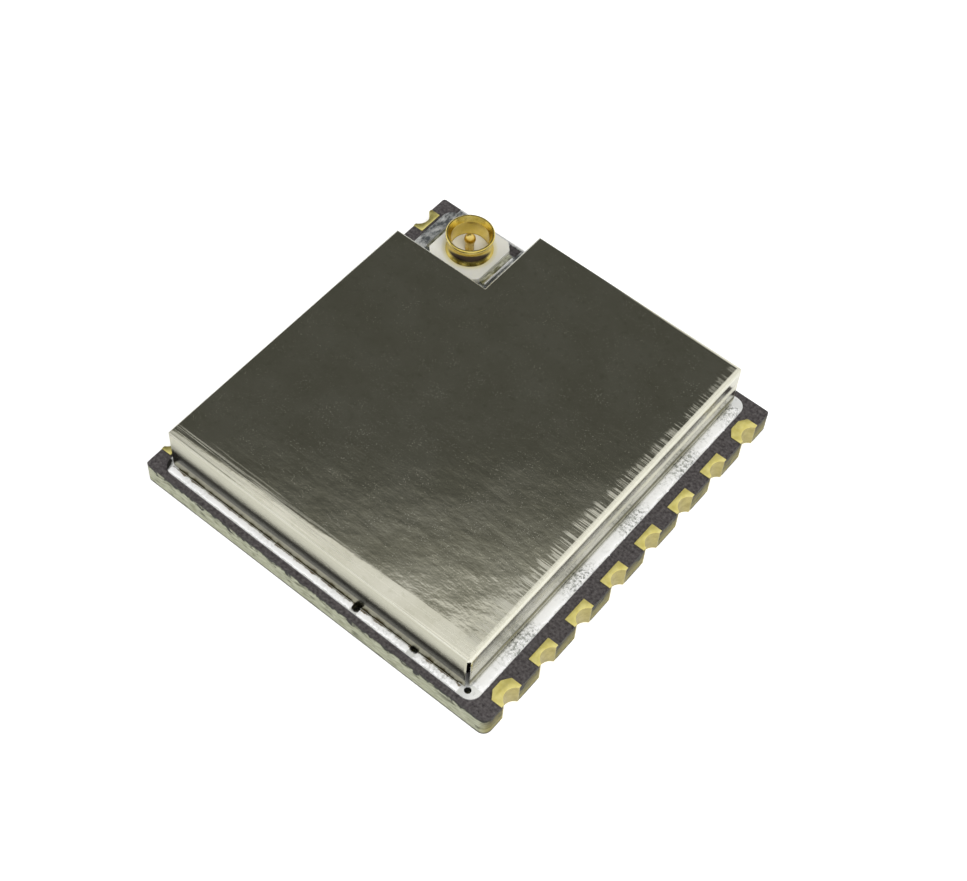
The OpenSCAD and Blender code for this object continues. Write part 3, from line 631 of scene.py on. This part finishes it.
def white_table():
    """Floor that reads white to the camera and in reflections, and keeps the module's shadow."""
    bm = bmesh.new()
    bmesh.ops.create_grid(bm, x_segments=2, y_segments=2, size=0.6)
    mesh = bpy.data.meshes.new("table")
    bm.to_mesh(mesh)
    bm.free()
    table = bpy.data.objects.new("table", mesh)
    bpy.context.collection.objects.link(table)
    table.location.z = -0.00001
    top = bpy.data.materials.new("table_white")
    top.use_nodes = True
    n, link = top.node_tree.nodes, top.node_tree.links
    n.clear()
    out, path = n.new("ShaderNodeOutputMaterial"), n.new("ShaderNodeLightPath")
    body, glow = n.new("ShaderNodeBsdfDiffuse"), n.new("ShaderNodeEmission")
    body.inputs["Color"].default_value = (0.8, 0.8, 0.8, 1)
    glow.inputs["Strength"].default_value = 0.45
    both, pick, rays = n.new("ShaderNodeAddShader"), n.new("ShaderNodeMixShader"), n.new("ShaderNodeMath")
    rays.operation = "MAXIMUM"
    link.new(path.outputs["Is Camera Ray"], rays.inputs[0])
    link.new(path.outputs["Is Glossy Ray"], rays.inputs[1])
    link.new(body.outputs[0], both.inputs[0])
    link.new(glow.outputs[0], both.inputs[1])
    link.new(rays.outputs[0], pick.inputs[0])
    link.new(body.outputs[0], pick.inputs[1])
    link.new(both.outputs[0], pick.inputs[2])
    link.new(pick.outputs[0], out.inputs[0])
    table.data.materials.append(top)


def photographer():
    """Camera of the photograph, from the fit of its place and lens."""
    data = bpy.data.cameras.new("camera")
    data.sensor_width = 36
    data.lens = 69.375
    data.clip_start = 0.001
    camera = bpy.data.objects.new("camera", data)
    right, up, back = (0.773274, 0.632468, 0.045069), (-0.54577, 0.627721, 0.555069), (0.322773, -0.453818, 0.830583)
    turn = Matrix((right, up, back)).transposed().to_4x4()
    camera.matrix_world = Matrix.Translation(Vector((22.6365, -30.5413, 57.5891)) * MM) @ turn
    bpy.context.collection.objects.link(camera)
    bpy.context.scene.camera = camera


# The module ----------------------------------------------------------------
bpy.context.scene.view_settings.view_transform = "Standard"
photographer()
world_light()
soft_lamps()
white_table()

gold = gold_finish("contact_gold", (0.66, 0.46, 0.11), (0.82, 0.64, 0.22), 0.3)
pad_gold = pad_finish()
tin = tin_finish()
solder = solder_finish()
dull_solder = tin_finish("dull_solder", 0.03, 0.42, (0.60, 0.61, 0.62))
chip_black = grain_finish("chip_moulding", (0.018, 0.018, 0.019), (0.035, 0.035, 0.037), 0.5, 12)

dress_nodes({
    "circuit_board": board_finish(), "ground_land": land_finish(), "signal_land": tin, "component_lands": tin,
    "radio_chip": chip_black, "antenna_switch": chip_black,
    "radio_chip_leads": tin, "radio_chip_pad": tin, "antenna_switch_leads": tin,
    "crystal_case": grain_finish("crystal_ceramic", (0.42, 0.38, 0.27), (0.56, 0.51, 0.40), 0.5, 9),
    "crystal_lid": tin_finish("crystal_lid_sheet", 0.004, 0.28, (0.74, 0.73, 0.68)),
    "capacitor_bodies": grain_finish("capacitor_ceramic", (0.26, 0.16, 0.08), (0.36, 0.24, 0.13), 0.4, 14),
    "inductor_bodies": grain_finish("inductor_ceramic", (0.62, 0.63, 0.60), (0.76, 0.77, 0.74), 0.35, 14),
    "resistor_bodies": grain_finish("resistor_glaze", (0.012, 0.012, 0.014), (0.03, 0.03, 0.032), 0.3, 14),
    "capacitor_ends": tin, "inductor_ends": tin, "resistor_ends": tin,
    "socket_solder": dull_solder,
})

can = rounded_copy("shield_can", "folded_can", can_finish(), 0.0, smooth=32)
base = rounded_copy("socket_base", "moulded_base", moulding_finish(), 0.03)
ring = rounded_copy("socket_ring", "turned_ring", ring_finish(), 0.0)
contact = rounded_copy("socket_contact", "centre_contact", gold, 0.0, smooth=50)
for side in ("left", "right"):
    for number in range(1, PAD_COUNT + 1):
        pad = rounded_copy(f"{side}_pad_{number}", f"{side}_plated_pad_{number}", pad_gold, 0.012)

z = LAND_TOP
(x0, y0, _), (x1, y1, _) = CAN
gap, corner, hole_gap = 0.01, 0.25, 0.16
front, right = y0 - LAND[0][1] - 0.02, LAND[1][0] - x1
left, back = x0 - LAND[0][0], LAND[1][1] - y1
# the front run is broken at the small holes
stops = [x0 + 0.12] + [hole[0] + way * hole_gap for hole in HOLES for way in (-1, 1)] + [x1 - corner]
runs = [((a, y0 - gap, z), (b, y0 - gap, z), (0, -1, 0), front - gap) for a, b in zip(stops[::2], stops[1::2])] + [
    ((x1 + gap, y0 + corner, z), (x1 + gap, y1 - corner, z), (1, 0, 0), right - gap),
    ((x1 - corner, y1 + gap, z), (NOTCH_X + corner, y1 + gap, z), (0, 1, 0), min(back, 0.15) - gap),
    ((x0 - gap, NOTCH_Y - corner, z), (x0 - gap, y0 + corner, z), (-1, 0, 0), left - gap),
]
# for each run, the distance from its start to one of its joints, and how strongly it is jointed
joints = [(1.3, 0.2), (1.3, 0.3), (0.9, 0.5), (2.37, 1.0), (0.8, 0.8), (1.1, 0.3)]
strips = band_slab("can_foot_solder", runs, joints)
foot = solder_band("can_foot_solder", strips, solder, {
    "Run height": 0.035 * MM, "Joint height": 0.035 * MM, "Joint pitch": 3.17 * MM, "Joint length": 1.6 * MM, "Seed": 3.0,
})
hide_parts("shield_solder")
